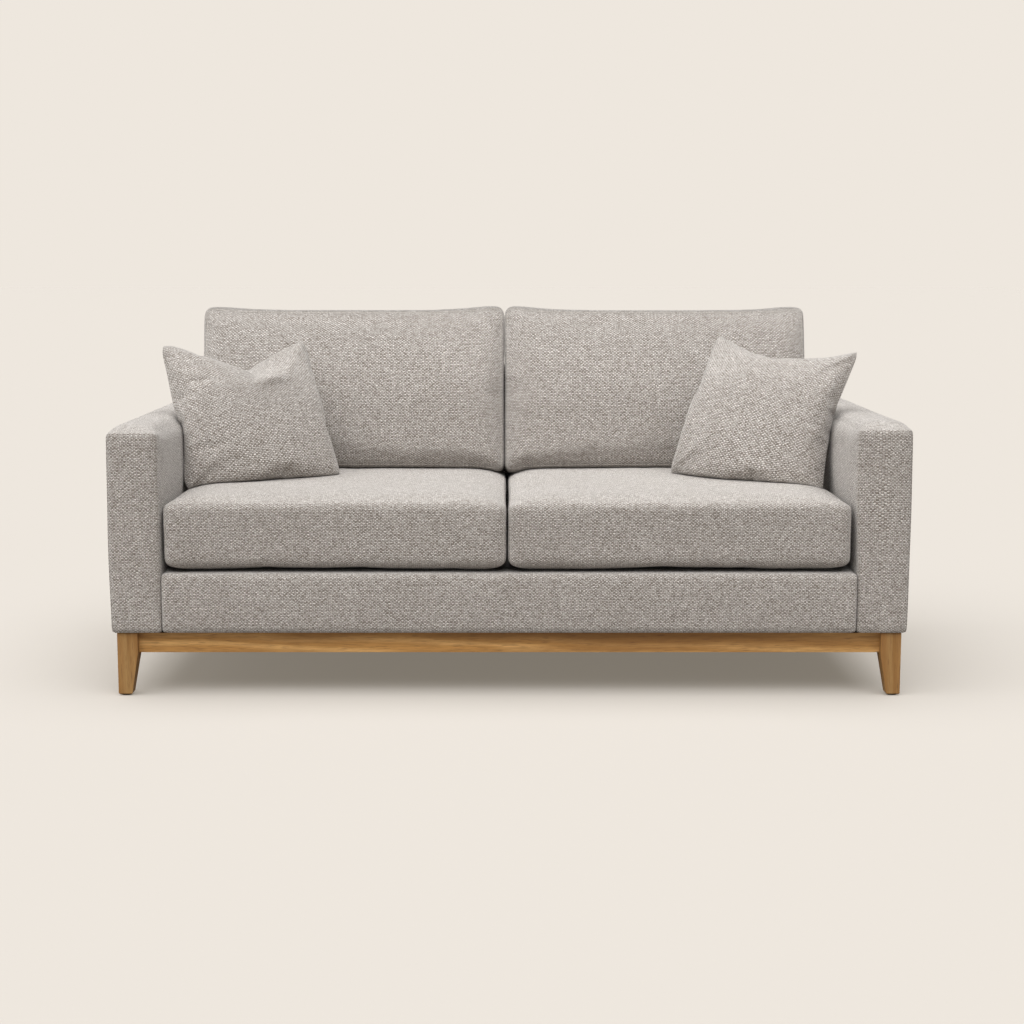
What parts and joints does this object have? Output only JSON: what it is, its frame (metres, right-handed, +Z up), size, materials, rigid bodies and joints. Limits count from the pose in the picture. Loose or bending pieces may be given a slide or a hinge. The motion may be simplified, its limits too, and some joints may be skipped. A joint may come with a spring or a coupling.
{
  "type": "sofa",
  "caption": "Upholstered two-seat sofa with track arms, loose seat, back and scatter cushions, on an oak plinth base with tapered wooden legs.",
  "frame": {"origin": "on the floor, under the middle of the sofa's bounding box", "axes": "+X to the sofa's right as seen from the front, +Y to the back, +Z up; the seats face -Y"},
  "size_m": [1.96, 0.95, 0.936],
  "materials": {
    "upholstery": "matte",
    "oak": "satin",
    "timber": "matte",
    "hardboard": "matte",
    "bolts": "satin",
    "spring_steel": "satin",
    "glides": "matte",
    "zips": "satin",
    "dust_cloth": "matte",
    "webbing": "matte",
    "lining": "matte",
    "foam": "matte",
    "wadding": "matte"
  },
  "bodies": {
    "frame": {"leg_front_left": "oak", "leg_front_right": "oak", "leg_rear_left": "oak", "leg_rear_right": "oak", "leg_glides": "glides", "leg_bolts": "bolts", "plinth_front_rail": "oak", "plinth_rear_rail": "oak", "plinth_left_rail": "oak", "plinth_right_rail": "oak", "plinth_dowels": "timber", "dust_cover": "dust_cloth", "seat_front_rail": "timber", "seat_rear_rail": "timber", "seat_end_rail_left": "timber", "seat_end_rail_right": "timber", "seat_centre_rail": "timber", "corner_blocks": "timber", "frame_bolts": "bolts", "left_arm_posts": "timber", "left_arm_rails": "timber", "right_arm_posts": "timber", "right_arm_rails": "timber", "back_posts": "timber", "back_top_rail": "timber", "back_tuck_rail": "timber", "back_board": "hardboard", "back_webbing": "webbing", "seat_springs_left": "spring_steel", "seat_springs_right": "spring_steel", "spring_clips": "spring_steel", "deck_felt": "wadding", "deck_lining": "lining", "left_arm_pad": "foam", "right_arm_pad": "foam", "left_arm_cover": "upholstery", "right_arm_cover": "upholstery", "left_arm_front_panel": "upholstery", "right_arm_front_panel": "upholstery", "front_rail_pad": "foam", "front_rail_cover": "upholstery", "back_pad": "wadding", "back_inside_cover": "upholstery", "back_outside_cover": "upholstery"},
    "seat_cushion_left": {"seat_cushion_left_core": "foam", "seat_cushion_left_cover": "upholstery", "seat_cushion_left_zip": "zips"},
    "seat_cushion_right": {"seat_cushion_right_core": "foam", "seat_cushion_right_cover": "upholstery", "seat_cushion_right_zip": "zips"},
    "back_cushion_left": {"back_cushion_left_fill": "wadding", "back_cushion_left_cover": "upholstery", "back_cushion_left_zip": "zips"},
    "back_cushion_right": {"back_cushion_right_fill": "wadding", "back_cushion_right_cover": "upholstery", "back_cushion_right_zip": "zips"},
    "scatter_cushion_left": {"scatter_cushion_left_fill": "wadding", "scatter_cushion_left_cover": "upholstery"},
    "scatter_cushion_right": {"scatter_cushion_right_fill": "wadding", "scatter_cushion_right_cover": "upholstery"}
  },
  "joints": [
    {"name": "seat_cushion_left_slide", "type": "slide", "parent": "frame", "child": "seat_cushion_left", "axis": [0, -1, 0], "range_m": [0, 0.75]},
    {"name": "seat_cushion_right_slide", "type": "slide", "parent": "frame", "child": "seat_cushion_right", "axis": [0, -1, 0], "range_m": [0, 0.75]},
    {"name": "back_cushion_left_lift", "type": "slide", "parent": "frame", "child": "back_cushion_left", "axis": [0, 0.2079, 0.9781], "range_m": [0, 0.45]},
    {"name": "back_cushion_right_lift", "type": "slide", "parent": "frame", "child": "back_cushion_right", "axis": [0, 0.2079, 0.9781], "range_m": [0, 0.45]},
    {"name": "scatter_cushion_left_lift", "type": "slide", "parent": "seat_cushion_left", "child": "scatter_cushion_left", "axis": [0, 0, 1], "range_m": [0, 0.45]},
    {"name": "scatter_cushion_right_lift", "type": "slide", "parent": "seat_cushion_right", "child": "scatter_cushion_right", "axis": [0, 0, 1], "range_m": [0, 0.45]}
  ]
}
